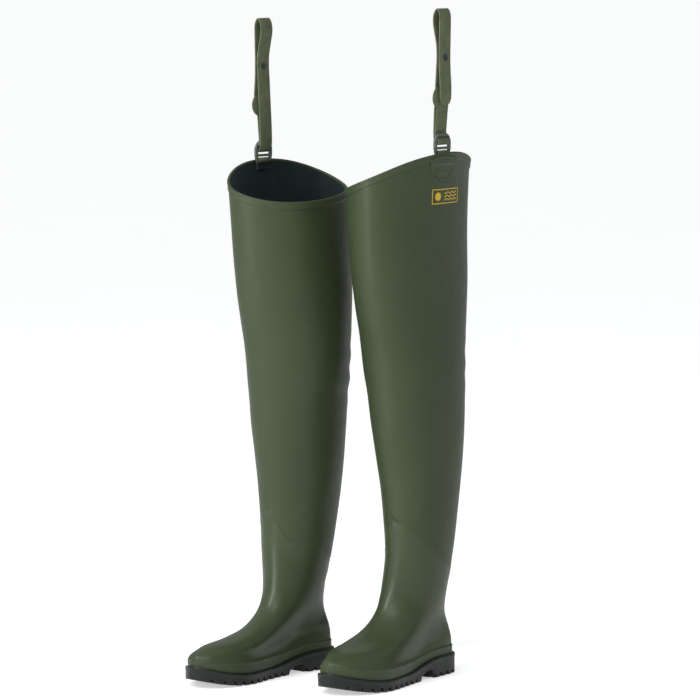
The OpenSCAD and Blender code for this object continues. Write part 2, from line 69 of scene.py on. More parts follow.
# Edge of the outsole as (x, s), from the toe round the outer side to the heel and back
SOLE_CURVE = np.array([
    (-3, 300), (22, 288), (42, 258), (52, 212), (45, 157), (37, 107), (35, 60), (29, 17),
    (0, 0), (-29, 17), (-32, 60), (-29, 107), (-35, 157), (-46, 212), (-42, 258), (-27, 288)], float)
# Rings of the boot and leg: front s, z, back s, z, outer and inner half widths, share of the
# sole's outline, share of the sole's rise, share of the rim's curve
RINGS = [
    (283, 25, 6, 25, 43.8, 37.8, 1, 0.9, 0), (262, 35, 9, 37, 41, 37.5, 0.8, 0.7, 0),
    (232, 42.5, 13, 49, 38, 35, 0.55, 0.5, 0), (200, 51, 17, 60, 36, 34, 0.35, 0.35, 0),
    (173, 62, 19, 70, 35.5, 34.5, 0.2, 0.2, 0), (152, 77, 20, 81, 36.5, 36, 0.1, 0.1, 0),
    (141, 96, 20, 91, 38, 38, 0.05, 0, 0), (136.5, 116, 19.5, 100, 39.5, 40, 0, 0, 0),
    (134, 140, 17.5, 110, 41, 41.5, 0, 0, 0), (132.5, 169, 15, 120, 42, 43.5, 0, 0, 0),
    (133, 200, 11.5, 134, 43, 45.5, 0, 0, 0), (135.5, 233, 8, 149, 43.5, 47.5, 0, 0, 0),
    (137.5, 254, 3.5, 169, 45, 49.5, 0, 0, 0), (141, 279, -2.5, 201, 46, 52, 0, 0, 0),
    (146, 306, -10, 246, 47.5, 56.5, 0, 0, 0), (151, 334, -15.5, 292, 49, 60.5, 0, 0, 0),
    (156, 363, -18.5, 343, 50.5, 64.5, 0, 0, 0), (160, 402, -19.5, 402, 51.5, 70, 0, 0, 0),
    (164, 433, -19.5, 433, 52, 76, 0, 0, 0), (168, 464, -20, 464, 51.5, 79, 0, 0, 0),
    (174, 495, -22.5, 495, 50.5, 80, 0, 0, 0), (182, 526, -25, 526, 49.5, 81, 0, 0, 0),
    (191.5, 569, -27.5, 569, 49, 81.5, 0, 0, 0), (198.5, 619, -26.5, 619, 50, 80, 0, 0, 0.25),
    (202, 669, -25.5, 669, 53, 77, 0, 0, 0.55), (204, 704, -25, 704, 57.5, 72, 0, 0, 0.85),
    (204.5, 719, -25.5, 719, 61, 68, 0, 0, 1)]
TOP_S = np.array([-5, 62, 85, 107, 132, 157, 200, 225, 250, 272, 288, 310], float)
FOXING_H = np.array([(-5, 14), (40, 14), (90, 15), (150, 20), (225, 20), (272, 16), (310, 14)], float)
PATCH_COL, PATCH_COLS, PATCH_H, PATCH_DROP, HEM_T = 8.1, 1.35, 38, 3.5, 1.2
LABEL_W, LABEL_H, LABEL_DROP, LABEL_BACK, COL_W = 66, 23, 66, 12, 21
CAD_COLUMNS = 32
RIM_PEAK = RIM_LOW + RIM_RISE

# ---- How the skin lies, in millimetres and radians round the leg; these aren't in the CAD ----
GRID_COLUMNS, GRID_STEPS = 160, 7
SEAM_DROP = {"left": 24, "right": 14}  # the boot's top edge below the CAD's seam
SEAM_SAG, SAG_TURN, SAG_HALF = 26, -0.7, 0.6  # its further sag on the inside of the leg
SEAM_TURN = {"left": 0.2, "right": 0.6}  # where the edge stands proudest
SEAM_LAP, SEAM_PROUD, SEAM_TUCK, LEG_UNDER = 0.12, 0.5, 0.1, 0.12
SHIN_Z = {"left": 237, "right": 247}  # the crease in front of the shin
SHIN_SLOPE, SHIN_TURN = 30, -0.05
FOLD_SETTLED = 0.6  # share of the settling that the folds behind the knee take part in
FOXING_COLUMNS, KNURL_PITCH, KNURL_LEAN = 640, 3.4, 16
WELT_DEPTH, WELT_PASSES = 5, 9
WEB_HALF = 12.6  # half of the strap's width where it shows through the patch
SOFT_EDGE, BUCKLE_EDGE = 0.0005, 0.0006  # rounding of the CAD's edges, in metres


# ---- Curves ----
def mix(a, b, t):
    return a + (b - a) * t


def ease(t):
    c = np.clip(t, 0, 1)
    return c * c * (3 - 2 * c)


def bump(x, centre, half):
    """1 at the centre, falling smoothly to 0 at half either side."""
    return ease(1 - np.abs(x - centre) / half)


def spline_rows(rows, t):
    """Points on the smooth curve through rows at the places t, along the first axis."""
    rows = np.asarray(rows, float)
    last = len(rows) - 1
    i = np.clip(np.floor(t).astype(int), 0, last - 1)
    f = (t - i).reshape((-1,) + (1,) * (rows.ndim - 1))
    a, b, c, d = (rows[np.clip(i + k, 0, last)] for k in (-1, 0, 1, 2))
    square, cube = 2 * a - 5 * b + 4 * c - d, 3 * b - a - 3 * c + d
    return 0.5 * (2 * b + (c - a) * f + square * f**2 + cube * f**3)


def closed_curve(points, count):
    """count points on the smooth loop through points."""
    n = len(points)
    wrapped = np.concatenate([points[-1:], points, points[:2]])
    return spline_rows(wrapped, 1 + np.arange(count) * n / count)


def outset(loop, d):
    """The loop moved d to its outside."""
    tangent = np.roll(loop, -1, 0) - np.roll(loop, 1, 0)
    tangent /= np.linalg.norm(tangent, axis=1)[:, None]
    return loop + d * np.stack([-tangent[:, 1], tangent[:, 0]], 1)


def top_rule(s):
    """The sole's top at the place s along the foot: heel, waist, ball and toe spring."""
    spring = TOE_SPRING * (np.maximum(0, s - 196) / 104) ** 2
    return mix(HEEL_H, BALL_H, ease((s - 58) / 97)) + spring


def sole_top(s):
    """The rule as the CAD draws it, with straight lines between its stations."""
    return np.interp(s, TOP_S, top_rule(TOP_S))


# ---- The boot's surface ----
def edge_of_upper(columns):
    """The upper's outline on columns that pass through the CAD's own corners."""
    corners = outset(closed_curve(SOLE_CURVE, CAD_COLUMNS), -UPPER_INSET)
    return closed_curve(corners, columns)


CORNERS = edge_of_upper(CAD_COLUMNS)
U_HEEL, U_TOE = CORNERS[:, 1].min(), CORNERS[:, 1].max()
U_OUT, U_IN = CORNERS[:, 0].max(), -CORNERS[:, 0].min()
ALL_RINGS = [
    (U_TOE - FEATHER, 0.9, U_HEEL + FEATHER, 0.9, U_OUT - FEATHER, U_IN - FEATHER, 1, 1, 0),
    (U_TOE, 7, U_HEEL, 6, U_OUT, U_IN, 1, 1, 0),
    (U_TOE, 15, U_HEEL, 14, U_OUT, U_IN, 1, 1, 0)] + RINGS


def settle(z, side):
    """The soft leg sinks a little on the side that has slumped."""
    return z - SLUMP[side] * ease((z - SOFT_Z) / SETTLE_RUN)


def ring(r, side, columns, edge):
    """One ring of the CAD's grid, as local (x, y, z)."""
    front_s, front_z, back_s, back_z, outer, inner, outline, sole_share, rim_share = r
    u = 2 * np.pi * np.arange(columns) / columns
    low, high = sole_top(U_HEEL), sole_top(U_TOE)
    middle = (front_s + back_s) / 2
    turn = np.radians(TOE_OUT) * ease(((front_z + back_z) / 2 + RING_BASE - SOFT_Z) / TURN_RUN)
    across_leg = np.where(np.sin(u) >= 0, outer, inner) * np.sin(u)
    across_foot = edge[:, 0] * np.where(edge[:, 0] >= 0, outer / U_OUT, inner / U_IN)
    along_foot = (edge[:, 1] - U_HEEL) / (U_TOE - U_HEEL)
    g = np.clip(mix(0.5 + 0.5 * np.cos(u), along_foot, outline), 0, 1)
    ridge = RIDGE_IN * ease((front_z - 15) / 30) * (1 - ease((front_z - 90) / 90))
    drop = OUTER_DROP * ease((front_z - 28) / 25) * (1 - ease((front_z - 80) / 70))
    x = mix(across_leg, across_foot, outline) - ridge * g * g
    s = mix(back_s, front_s, g)
    flat = mix(low, high, (s - U_HEEL) / (U_TOE - U_HEEL))
    base = flat if sole_share > 0 else RING_BASE
    rise = 0 if outline > 0 else max(0, front_z - back_z)
    sagged = g ** (1 + SAG * min(1, rise / 70))
    lift = RIM_RISE * (0.5 + 0.5 * np.sin(u - np.radians(PEAK_BACK))) ** 2
    z = mix(back_z, front_z, sagged) + base + sole_share * (sole_top(s) - flat) + rim_share * lift
    z = z - drop * g * g * np.maximum(0, np.sin(u))
    curl = rim_share * np.maximum(0, np.cos(u + np.radians(FLARE_AT))) ** 2
    x, z, y = x - RIM_FLARE * curl, z - RIM_DIP * curl, s - middle + 0.6 * RIM_FLARE * curl
    return np.stack([x * np.cos(turn) - y * np.sin(turn),
                     -middle - y * np.cos(turn) - x * np.sin(turn), settle(z, side)], 1)


def foot_relief(u, t):
    """Toe cap and vamp in mm, over the rows t: a full toe, a hollow behind it and over the band."""
    front = np.maximum(0, np.cos(u))
    hollow = -3.2 * front**3 * bump(t, 6.3, 2.6)
    cap = 0.9 * front**2 * bump(t, 3.7, 1.1)
    groove = -0.5 * bump(t, 3.1, 0.7) * ease(front * 2)
    return hollow + cap + groove


def relief(u, z, side):
    """Soft unevenness of the leg in mm: a swell, folds behind knee and ankle, the shin's crease."""
    swell = 0.55 * np.sin(z / 61 + 2 * np.cos(u)) * np.sin(z / 97 + 3 * u) * ease((z - 190) / 120)
    behind = np.maximum(0, -np.cos(u - 0.25)) ** 2
    knee = 1.3 * behind * bump(z, 468, 80) * np.sin(2 * np.pi * (z - 455 + 9 * np.sin(u * 2)) / 37)
    ankle = 0.35 * behind * bump(z, 165, 55) * np.sin(2 * np.pi * (z + 7 * np.cos(3 * u)) / 31)
    turn = np.arctan2(np.sin(u), np.cos(u))
    seen = turn if side == "right" else -turn
    slant = z - SHIN_Z[side] - SHIN_SLOPE * (seen + 0.15)
    shin = -2.3 * np.exp(-(slant / 4) ** 2) * bump(seen, SHIN_TURN, 0.32)
    shin += 1.9 * np.exp(-((slant - 8) / 5) ** 2) * bump(seen, SHIN_TURN, 0.28)
    rim = 0.8 * np.sin(5 * u + 0.6) * ease((z - 660) / 90)
    return swell + knee + ankle + shin + rim


class Surface:
    """A side's outer surface on a fine grid, with its outward normals."""

    def __init__(self, side):
        self.side, self.columns = side, GRID_COLUMNS
        self.u = 2 * np.pi * np.arange(GRID_COLUMNS) / GRID_COLUMNS
        edge = edge_of_upper(GRID_COLUMNS)
        rows = np.array([ring(r, side, GRID_COLUMNS, edge) for r in ALL_RINGS])
        self.t = np.linspace(0, RIM_ROW, RIM_ROW * GRID_STEPS + 1)
        self.grid = spline_rows(rows, self.t)
        self.normals = self.make_normals(self.grid)
        u = np.broadcast_to(self.u, self.grid.shape[:2])
        unsettled = self.grid[:, :, 2] + SLUMP[side] * FOLD_SETTLED
        height = relief(u, unsettled, side) + foot_relief(u, self.t[:, None])
        self.grid = self.grid + height[:, :, None] * self.normals
        self.normals = self.make_normals(self.grid)

    @staticmethod
    def make_normals(grid):
        around = np.roll(grid, -1, 1) - np.roll(grid, 1, 1)
        upward = np.gradient(grid, axis=0)
        n = np.cross(around, upward)
        return n / np.maximum(np.linalg.norm(n, axis=2, keepdims=True), 1e-9)

    def rows(self, t, d):
        """Rings at the row places t, moved outward by d; both go by ring, or by ring and column."""
        t = np.broadcast_to(np.asarray(t, float).reshape(len(t), -1), (len(t), self.columns))
        d = np.asarray(d, float)
        d = d[:, :, None] if d.ndim == 2 else d.reshape(-1, 1, 1)
        shape = (len(t), self.columns, 3)
        grid, normals = (np.stack([np.interp(t[:, j], self.t, a[:, j, k])
                                   for j in range(self.columns) for k in range(3)], 1).reshape(shape)
                         for a in (self.grid, self.normals))
        normals /= np.linalg.norm(normals, axis=2, keepdims=True)
        return grid + d * normals

    def seam(self):
        """The row place of the boot's top edge in each column, sagged on the inside of the leg."""
        turn = np.arctan2(np.sin(self.u), np.cos(self.u))
        drop = SEAM_DROP[self.side] + SEAM_SAG * bump(turn, SAG_TURN, SAG_HALF)
        row = SEAM_ROW * GRID_STEPS
        nearby = slice(row - 3 * GRID_STEPS, row + 1)
        z, t = self.grid[:, :, 2], self.t[nearby]
        return np.array([np.interp(z[row, j] - drop[j], z[nearby, j], t)
                         for j in range(self.columns)])

    def at(self, column, z, d):
        """The point at a fractional CAD column and a height, moved outward by d."""
        f = (column * self.columns / CAD_COLUMNS) % self.columns
        parts = []
        start = np.searchsorted(self.t, SEAM_ROW + 1)
        for j in (int(f) % self.columns, (int(f) + 1) % self.columns):
            zs = self.grid[start:, j, 2]
            place = [np.interp(z, zs, self.grid[start:, j, k]) for k in range(3)]
            normal = np.array([np.interp(z, zs, self.normals[start:, j, k]) for k in range(3)])
            parts.append(np.array(place) + d * normal / np.linalg.norm(normal))
        return mix(parts[0], parts[1], f - int(f))


def placed(points, side):
    """Local boot points in mm to the row's frame in metres."""
    p = np.asarray(points, float).reshape(-1, 3)
    c, s = math.cos(math.radians(TOE_OUT)), math.sin(math.radians(TOE_OUT))
    x = STANCE / 2 + p[:, 0] * c - p[:, 1] * s
    y = HEEL_MID + STAGGER / 2 + p[:, 0] * s + p[:, 1] * c
    if side == "right":
        x, y = -x, y - STAGGER
    return np.stack([x, y, p[:, 2]], 1) * MM


# ---- Making pieces ----
def make_piece(name, points, faces, material, sharp_angle):
    mesh = bpy.data.meshes.new(name)
    mesh.from_pydata([tuple(p) for p in points], [], [tuple(f) for f in faces])
    piece = bpy.data.objects.new(name, mesh)
    bpy.context.scene.collection.objects.link(piece)
    finish_mesh(piece, material, sharp_angle)
    return piece


def finish_mesh(piece, material, sharp_angle):
    """Normals outward, smooth shading up to the sharp angle in degrees, material and slot."""
    bm = bmesh.new()
    bm.from_mesh(piece.data)
    bmesh.ops.recalc_face_normals(bm, faces=bm.faces)
    bm.to_mesh(piece.data)
    bm.free()
    piece.data.polygons.foreach_set("use_smooth", [True] * len(piece.data.polygons))
    piece.data.set_sharp_from_angle(angle=math.radians(sharp_angle))
    piece.data.materials.clear()
    piece.data.materials.append(material)


def loop_faces(rows, columns):
    """Faces of a torus-like grid, closed both ways."""
    return [(i * columns + j, i * columns + (j + 1) % columns,
             (i + 1) % rows * columns + (j + 1) % columns, (i + 1) % rows * columns + j)
            for i in range(rows) for j in range(columns)]


def plate_faces(rows, columns):
    """Faces of a closed plate: its front grid first, then its back grid."""
    n = rows * columns
    faces = []
    for i in range(rows - 1):
        for j in range(columns - 1):
            a = i * columns + j
            quad = (a, a + 1, a + 1 + columns, a + columns)
            faces += [quad, tuple(n + k for k in reversed(quad))]
    rim = list(range(columns))
    rim += [i * columns + columns - 1 for i in range(1, rows)]
    rim += [(rows - 1) * columns + j for j in range(columns - 2, -1, -1)]
    rim += [i * columns for i in range(rows - 2, 0, -1)]
    for k, a in enumerate(rim):
        b = rim[(k + 1) % len(rim)]
        faces.append((a, n + a, n + b, b))
    return faces


def sleeve(name, side, outside, inside, material):
    """A closed sleeve between an outer and an inner stack of rings."""
    loops = np.concatenate([outside, inside[::-1]])
    faces = loop_faces(len(loops), loops.shape[1])
    return make_piece(name, placed(loops, side), faces, material, 50)


def refined(node, name, slot, width, segments=2):
    """A copy of a CAD solid with its edges rounded over by width, in metres."""
    mesh = frame["nodes"][node].data.copy()
    mesh.name = name
    piece = bpy.data.objects.new(name, mesh)
    bpy.context.scene.collection.objects.link(piece)
    bm = bmesh.new()
    bm.from_mesh(mesh)
    bmesh.ops.remove_doubles(bm, verts=bm.verts, dist=2e-6)
    bmesh.ops.dissolve_limit(bm, angle_limit=math.radians(0.6), verts=bm.verts, edges=bm.edges)
    sharp = [e for e in bm.edges if e.is_manifold and e.calc_face_angle() > math.radians(38)]
    bmesh.ops.bevel(bm, geom=sharp, offset=width, segments=segments, profile=0.5,
                    affect="EDGES", clamp_overlap=True)
    bmesh.ops.dissolve_degenerate(bm, dist=1e-6, edges=bm.edges)
    bm.to_mesh(mesh)
    bm.free()
    finish_mesh(piece, MATERIALS[slot], 32)
    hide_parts(node)
    return piece


# ---- Materials ----
class Nodes:
    """Short-hand for a material's node tree. The socket of a noise or wave is its factor."""

    def __init__(self, name, **constants):
        self.material = bpy.data.materials.new(name)
        self.material.use_nodes = True
        self.tree = self.material.node_tree
        self.shader = self.tree.nodes["Principled BSDF"]
        for socket, value in constants.items():
            self.shader.inputs[socket.replace("_", " ")].default_value = value
        self.place = self.tree.nodes.new("ShaderNodeTexCoord").outputs["Object"]

    def link(self, a, b):
        self.tree.links.new(a, b)

    def noise(self, scale, detail=3, stretch=(1, 1, 1)):
        mapping = self.tree.nodes.new("ShaderNodeMapping")
        mapping.inputs["Scale"].default_value = stretch
        self.link(self.place, mapping.inputs["Vector"])
        node = self.tree.nodes.new("ShaderNodeTexNoise")
        node.inputs["Scale"].default_value = scale
        node.inputs["Detail"].default_value = detail
        self.link(mapping.outputs["Vector"], node.inputs["Vector"])
        return node.outputs["Fac"]

    def wave(self, scale, direction="Z", distortion=0.6):
        node = self.tree.nodes.new("ShaderNodeTexWave")
        node.bands_direction = direction
        node.inputs["Scale"].default_value = scale
        node.inputs["Distortion"].default_value = distortion
        self.link(self.place, node.inputs["Vector"])
        return node.outputs["Fac"]

    def ramp(self, source, low, high, start=0.3, end=0.7):
        node = self.tree.nodes.new("ShaderNodeValToRGB")
        node.color_ramp.elements[0].position = start
        node.color_ramp.elements[1].position = end
        node.color_ramp.elements[0].color = (*low, 1)
        node.color_ramp.elements[1].color = (*high, 1)
        self.link(source, node.inputs["Fac"])
        return node.outputs["Color"]

    def scaled(self, source, low, high):
        node = self.tree.nodes.new("ShaderNodeMapRange")
        node.inputs["To Min"].default_value = low
        node.inputs["To Max"].default_value = high
        self.link(source, node.inputs["Value"])
        return node.outputs["Result"]

    def blended(self, a, b, factor):
        node = self.tree.nodes.new("ShaderNodeMix")
        node.data_type = "RGBA"
        node.inputs["Factor"].default_value = factor
        self.link(a, node.inputs["A"])
        self.link(b, node.inputs["B"])
        return node.outputs["Result"]

    def bumps(self, *layers):
        """Stacks (height, strength, distance in metres) into the shader's normal."""
        previous = None
        for height, strength, distance in layers:
            node = self.tree.nodes.new("ShaderNodeBump")
            node.inputs["Strength"].default_value = strength
            node.inputs["Distance"].default_value = distance
            self.link(height, node.inputs["Height"])
            if previous is not None:
                self.link(previous, node.inputs["Normal"])
            previous = node.outputs["Normal"]
        self.link(previous, self.shader.inputs["Normal"])

    def set(self, socket, source):
        self.link(source, self.shader.inputs[socket])


def tinted(colour, strength):
    return tuple(c * strength for c in colour)


def pvc_material(name, colour, roughness, cloth, coat=0.04):
    """Satin PVC: mottled colour, orange-peel skin and, on the leg, the knit that shows through."""
    n = Nodes(name, Specular_IOR_Level=0.27, Coat_Weight=coat, Coat_Roughness=0.28)
    mottled = n.ramp(n.noise(9, 4), tinted(colour, 0.86), tinted(colour, 1.1))
    stained = n.ramp(n.noise(46, 5), tinted(colour, 0.94), tinted(colour, 1.06))
    n.set("Base Color", n.blended(mottled, stained, 0.4))
    n.set("Roughness", n.scaled(n.noise(60, 4), roughness - 0.05, roughness + 0.07))
    peel = (n.noise(900, 2), 0.10, 0.0004)
    if cloth:
        courses = (n.wave(190, "Z", 1.2), 0.10, 0.0003)
        n.bumps((n.noise(28, 3), 0.25, 0.0025), courses, peel)
    else:
        n.bumps((n.noise(40, 3), 0.12, 0.0015), peel)
    return n.material


def sole_material():
    """Near-black moulded rubber, greenish and a little scuffed."""
    n = Nodes("sole_rubber", Specular_IOR_Level=0.33, Coat_Weight=0.04, Coat_Roughness=0.2)
    n.set("Base Color", n.ramp(n.noise(35, 5), (0.0045, 0.0075, 0.0052), (0.010, 0.0145, 0.0108)))
    n.set("Roughness", n.scaled(n.noise(120, 4), 0.30, 0.48))
    n.bumps((n.noise(700, 3), 0.18, 0.0005), (n.noise(90, 3), 0.15, 0.0012))
    return n.material


def strap_material():
    """Coated webbing: weave ribs under a matt skin."""
    n = Nodes("strap_web", Specular_IOR_Level=0.35)
    n.set("Base Color", n.ramp(n.noise(70, 4), (0.092, 0.106, 0.056), (0.128, 0.144, 0.082)))
    n.set("Roughness", n.scaled(n.noise(200, 3), 0.5, 0.68))
    n.bumps((n.wave(310, "Z", 0.3), 0.25, 0.0003), (n.wave(260, "Y", 0.3), 0.2, 0.0003),
            (n.noise(1100, 2), 0.2, 0.0003))
    return n.material


def buckle_material():
    """Grey-green moulded plastic with a fine spark-eroded grain."""
    n = Nodes("buckle_plastic", Specular_IOR_Level=0.5)
    n.set("Base Color", n.ramp(n.noise(150, 3), (0.070, 0.088, 0.064), (0.098, 0.120, 0.090)))
    n.set("Roughness", n.scaled(n.noise(300, 3), 0.34, 0.5))
    n.bumps((n.noise(1500, 2), 0.15, 0.0003))
    return n.material


def lining_material():
    """Knitted lining: fine courses and wales in dark teal."""
    n = Nodes("lining_cloth", Specular_IOR_Level=0.2, Sheen_Weight=0.25, Sheen_Roughness=0.5)
    n.shader.inputs["Sheen Tint"].default_value = (0.25, 0.4, 0.4, 1)
    yarn = n.ramp(n.noise(55, 5), (0.0065, 0.0125, 0.0135), (0.0125, 0.0215, 0.0225))
    courses = n.ramp(n.wave(240, "Z", 2), (0.007, 0.013, 0.014), (0.014, 0.024, 0.025), 0.2, 0.8)
    n.set("Base Color", n.blended(yarn, courses, 0.45))
    n.set("Roughness", n.scaled(n.noise(400, 2), 0.72, 0.9))
    n.bumps((n.wave(240, "Z", 2), 0.35, 0.0005), (n.noise(900, 3), 0.4, 0.0005))
    return n.material


def label_material():
    """Yellow screen print, uneven like ink on PVC."""
    n = Nodes("label_print", Specular_IOR_Level=0.45)
    n.set("Base Color", n.ramp(n.noise(400, 4), (0.56, 0.37, 0.012), (0.74, 0.53, 0.03)))
    n.set("Roughness", n.scaled(n.noise(500, 3), 0.38, 0.55))
    n.bumps((n.noise(1200, 3), 0.2, 0.0002))
    return n.material


def metal_material(name, dark, light, low, high):
    """Metal with fine scratches; its roughness runs from low to high."""
    n = Nodes(name, Metallic=1.0)
    n.set("Base Color", n.ramp(n.noise(600, 4), dark, light))
    n.set("Roughness", n.scaled(n.noise(900, 3, (1, 1, 6)), low, high))
    n.bumps((n.noise(1800, 2), 0.1, 0.0002))
    return n.material


GREEN = (0.043, 0.060, 0.0275)
MATERIALS = {
    "boot_pvc": pvc_material("boot_pvc", GREEN, 0.37, False, 0.13),
    "leg_pvc": pvc_material("leg_pvc", GREEN, 0.43, True),
    "hem_pvc": pvc_material("hem_pvc", tinted(GREEN, 1.05), 0.45, False),
    "foxing_rubber": pvc_material("foxing_rubber", tinted(GREEN, 0.98), 0.42, False),
    "sole_rubber": sole_material(),
    "strap_web": strap_material(),
    "buckle_plastic": buckle_material(),
    "lining_cloth": lining_material(),
    "label_print": label_material(),
    "stud_metal": metal_material("stud_metal", (0.035, 0.04, 0.038), (0.11, 0.12, 0.115), 0.3, 0.5),
    "shank_steel": metal_material("shank_steel", (0.42, 0.43, 0.44), (0.6, 0.61, 0.62), 0.25, 0.4)}


# ---- Boot, leg and lining ----
def make_boot(surface, side):
    """The moulded boot, whose top edge laps a little over the leg."""
    edge = surface.seam()
    t = np.linspace(0, 1, 110)[:, None] * (edge + 0.05)
    front = np.maximum(0, np.cos(surface.u + SEAM_TURN[side]))
    lap = (SEAM_LAP + SEAM_PROUD * front) * ease((t - edge + 0.5) / 0.4)
    lap[-1] = -SEAM_TUCK
    inside = np.linspace(0, 1, 30)[:, None] * edge
    piece = sleeve(f"{side}_boot", side, surface.rows(t, lap), surface.rows(inside, -SHELL_T),
                   MATERIALS["boot_pvc"])
    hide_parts(f"{side}_boot_shell")
    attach(piece, f"{side}_boot")


def make_leg(surface, side):
    """The leg from under the boot's top edge to the rim, bending at the knee."""
    edge = surface.seam() - LEG_UNDER
    t = edge + np.linspace(0, 1, 130)[:, None] * (RIM_ROW - edge)
    inside = edge + np.linspace(0, 1, 60)[:, None] * (RIM_ROW - edge)
    piece = sleeve(f"{side}_leg", side, surface.rows(t, 0), surface.rows(inside, -LEG_T),
                   MATERIALS["leg_pvc"])
    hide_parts(f"{side}_leg_lower", f"{side}_leg_knee", f"{side}_leg_thigh")
    blend_at_knee(piece)


def make_lining(surface, side):
    """The knitted lining, one sleeve from the foot to just under the rim."""
    t = np.linspace(0, RIM_ROW - 0.04, 110)
    depth = mix(SHELL_T, LEG_T, ease((t - SEAM_ROW) / 3)) + GAP
    piece = sleeve(f"{side}_lining", side, surface.rows(t[::2], -depth[::2]),
                   surface.rows(t, -depth - LINING_T), MATERIALS["lining_cloth"])
    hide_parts(f"{side}_boot_lining", f"{side}_knee_lining", f"{side}_thigh_lining")
    blend_at_knee(piece)


def blend_at_knee(piece):
    """Bakes the piece's placement into its mesh."""
    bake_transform(piece)


def joint(name):
    return next(j for j in frame["joints"] if j["name"] == name)


# ---- Sole ----
def make_sole(side):
    """The cleated sole with every edge rounded as in a mould: the CAD solid remeshed and relaxed."""
    solid = frame["nodes"][f"{side}_outsole"].data.copy()
    piece = bpy.data.objects.new(f"{side}_cleated_sole", solid)
    bpy.context.scene.collection.objects.link(piece)
    remesh = piece.modifiers.new("remesh", "REMESH")
    remesh.mode = "VOXEL"
    remesh.voxel_size = 1 * MM
    relax = piece.modifiers.new("relax", "SMOOTH")
    relax.factor = 0.5
    relax.iterations = 4
    evaluated = piece.evaluated_get(bpy.context.evaluated_depsgraph_get())
    mesh = bpy.data.meshes.new_from_object(evaluated)
    piece.modifiers.clear()
    piece.data = mesh
    round_the_welt(mesh, side)
    finish_mesh(piece, MATERIALS["sole_rubber"], 80)
    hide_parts(f"{side}_outsole")
    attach(piece, f"{side}_boot")


def round_the_welt(mesh, side):
    """Relaxes the top of the sole's edge further than its tread."""
    bm = bmesh.new()
    bm.from_mesh(mesh)
    c, s = math.cos(math.radians(TOE_OUT)), math.sin(math.radians(TOE_OUT))
    sign = 1 if side == "left" else -1
    origin = (STANCE / 2, HEEL_MID + STAGGER / 2 - (0 if side == "left" else STAGGER))
    welt = []
    for v in bm.verts:
        x, y = sign * v.co.x / MM - origin[0], v.co.y / MM - origin[1]
        if v.co.z / MM > sole_top(x * s - y * c) - WELT_DEPTH:
            welt.append(v)
    for _ in range(WELT_PASSES):
        bmesh.ops.smooth_vert(bm, verts=welt, factor=0.5, use_axis_x=True, use_axis_y=True,
                              use_axis_z=True)
    bm.to_mesh(mesh)
    bm.free()


# ---- Foxing band with a knurled toe ----
def make_foxing(side):
    """The band round the foot: soft top edge, a ledge below it and a diamond knurl on the toe."""
    edge = edge_of_upper(FOXING_COLUMNS)
    tangent = np.roll(edge, -1, 0) - np.roll(edge, 1, 0)
    step = np.linalg.norm(tangent, axis=1)
    tangent /= step[:, None]
    outward = np.stack([-tangent[:, 1], tangent[:, 0]], 1)
    phase = np.cumsum(step) / 2 * 2 * np.pi / KNURL_PITCH
    s = edge[:, 1]
    height = np.interp(s, FOXING_H[:, 0], FOXING_H[:, 1])
    toe = ease((s - 262) / 14)
    proud = 1.25 + 0.65 * ease((s - 120) / 60)
    profile = []
    for k in range(33):
        f = k / 32
        edge_round = proud * (1 - ease((f - 0.74) / 0.26))
        ledge = 0.35 * bump(f, 0.76, 0.1)
        lean = f * KNURL_LEAN
        knurl = 0.32 * np.maximum(0, np.sin(phase + lean) * np.sin(phase - lean))
        band = ease((f - 0.18) / 0.1) * (1 - ease((f - 0.66) / 0.1))
        profile.append((edge_round + ledge + knurl * toe * band, f))
    profile += [(-0.8, 1.03), (-1.3, 0.5), (-1.3, 0.0)]
    rings = []
    for d, f in profile:
        p = edge + outward * np.broadcast_to(d, s.shape)[:, None]
        rings.append(np.stack([p[:, 0], -p[:, 1], sole_top(s) - 0.3 + f * (height + 0.3)], 1))
    loops = np.array(rings)
    piece = make_piece(f"{side}_foxing_band", placed(loops, side),
                       loop_faces(len(loops), FOXING_COLUMNS), MATERIALS["foxing_rubber"],
                       60)
    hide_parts(f"{side}_foxing")
    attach(piece, f"{side}_boot")


# ---- Rim, patch and label ----
def make_hem(surface, side):
    """The rim's tape: a rounded band outside, rolled over the edge to the inside."""
    inner = LEG_T + GAP + LINING_T
    profile = [(-0.5, HEM_H + 0.6), (0.35, HEM_H + 0.5), (0.95, HEM_H), (1.25, HEM_H - 1.2),
               (1.15, HEM_H - 3), (1.1, 6), (1.2, 3), (1.45, 1.7), (1.3, 0.7), (0.8, 0.1),
               (-0.2, -0.15), (-1.3, -0.05), (-inner + 0.2, 0.4), (-inner - 0.3, 1.1),
               (-inner - 0.4, 2.2), (-inner - 0.3, 3.4), (-inner + 0.3, 3.9), (-inner + 0.8, 4.5)]
    columns = np.arange(surface.columns) * CAD_COLUMNS / surface.columns
    top = surface.grid[-1, :, 2]
    loops = []
    for d, h in profile:
        ring_points = [surface.at(c, z - max(0, h), d) for c, z in zip(columns, top)]
        loops.append(np.array(ring_points) + np.array([0, 0, max(0, -h)]))
    loops = np.array(loops)
    piece = make_piece(f"{side}_hem", placed(loops, side), loop_faces(len(loops), surface.columns),
                       MATERIALS["hem_pvc"], 70)
    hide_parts(f"{side}_hem_band")
    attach(piece, f"{side}_thigh")


